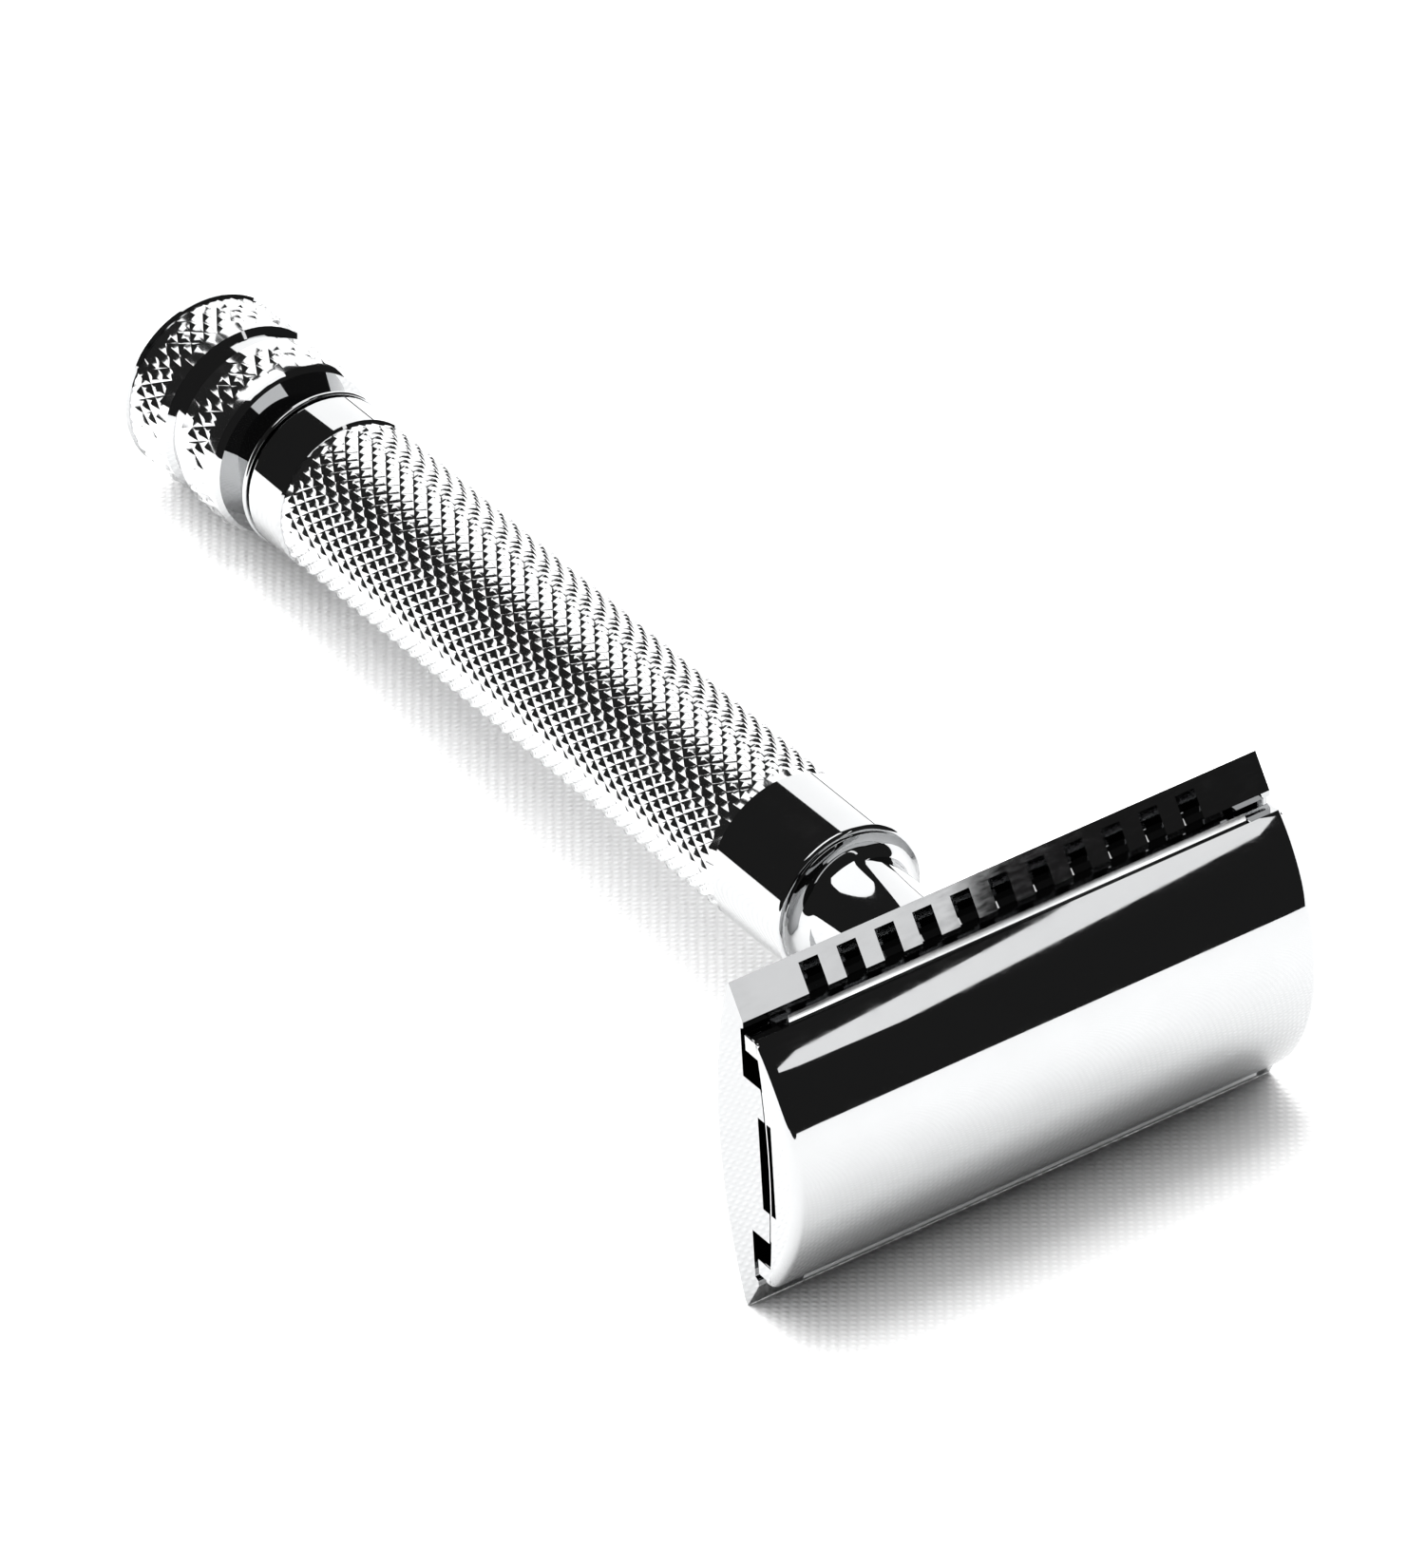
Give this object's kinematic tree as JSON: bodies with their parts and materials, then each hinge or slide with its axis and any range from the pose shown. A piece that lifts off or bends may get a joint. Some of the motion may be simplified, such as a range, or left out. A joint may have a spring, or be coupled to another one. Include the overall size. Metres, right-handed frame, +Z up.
{
  "type": "safety razor",
  "caption": "Twist-to-open double-edge safety razor: convex cap over a curved blade, notched guard plate, waisted neck and a knurled handle with a knurled opening knob, lying as on a table.",
  "frame": {"origin": "middle of the razor's bounding box, on the surface that it lies on", "axes": "+Y along the lying razor from the cap towards the knob, +X along the head, +Z up from the surface"},
  "size_m": [0.043, 0.1056, 0.0268],
  "materials": {
    "polished_chrome": "mirror-polished chrome plate",
    "plate_chrome": "bright chrome plate over a cast surface",
    "knurled_chrome": "chrome plate over diamond knurling",
    "blade_steel": "ground stainless steel",
    "turned_steel": "turned steel",
    "turned_brass": "turned brass",
    "washer_plastic": "natural acetal"
  },
  "bodies": {
    "handle": {"handle_tube": "knurled_chrome", "neck": "polished_chrome", "base_plate": "plate_chrome", "front_bush": "turned_brass", "thrust_washer": "turned_brass", "rear_bush": "turned_brass", "friction_washer": "washer_plastic"},
    "twist_knob": {"knob": "knurled_chrome", "knob_collar": "polished_chrome", "end_plug": "polished_chrome", "knob_screw": "turned_steel", "spindle": "turned_steel", "retaining_ring": "turned_steel", "draw_nut": "turned_brass", "nut_pin": "turned_steel"},
    "cap": {"top_cap": "polished_chrome", "cap_stud": "turned_brass", "cap_pins": "polished_chrome"},
    "blade": {"razor_blade": "blade_steel"}
  },
  "joints": [
    {"name": "knob_turn", "type": "hinge", "parent": "handle", "child": "twist_knob", "pos_m": [0, 0.05237, 0.0068], "axis": [0, 0.9978, -0.0669], "range_deg": [0, 2880]},
    {"name": "cap_lift", "type": "slide", "parent": "handle", "child": "cap", "axis": [0, -0.9978, 0.0669], "range_m": [0, 0.00642]},
    {"name": "blade_lift", "type": "slide", "parent": "handle", "child": "blade", "axis": [0, -0.9978, 0.0669], "range_m": [0, 0.00322]}
  ],
  "couplings": [
    {"joint": "cap_lift", "follows": "knob_turn", "m_per_rad": 0.00012732},
    {"joint": "blade_lift", "follows": "knob_turn", "m_per_rad": 0.000063662}
  ]
}
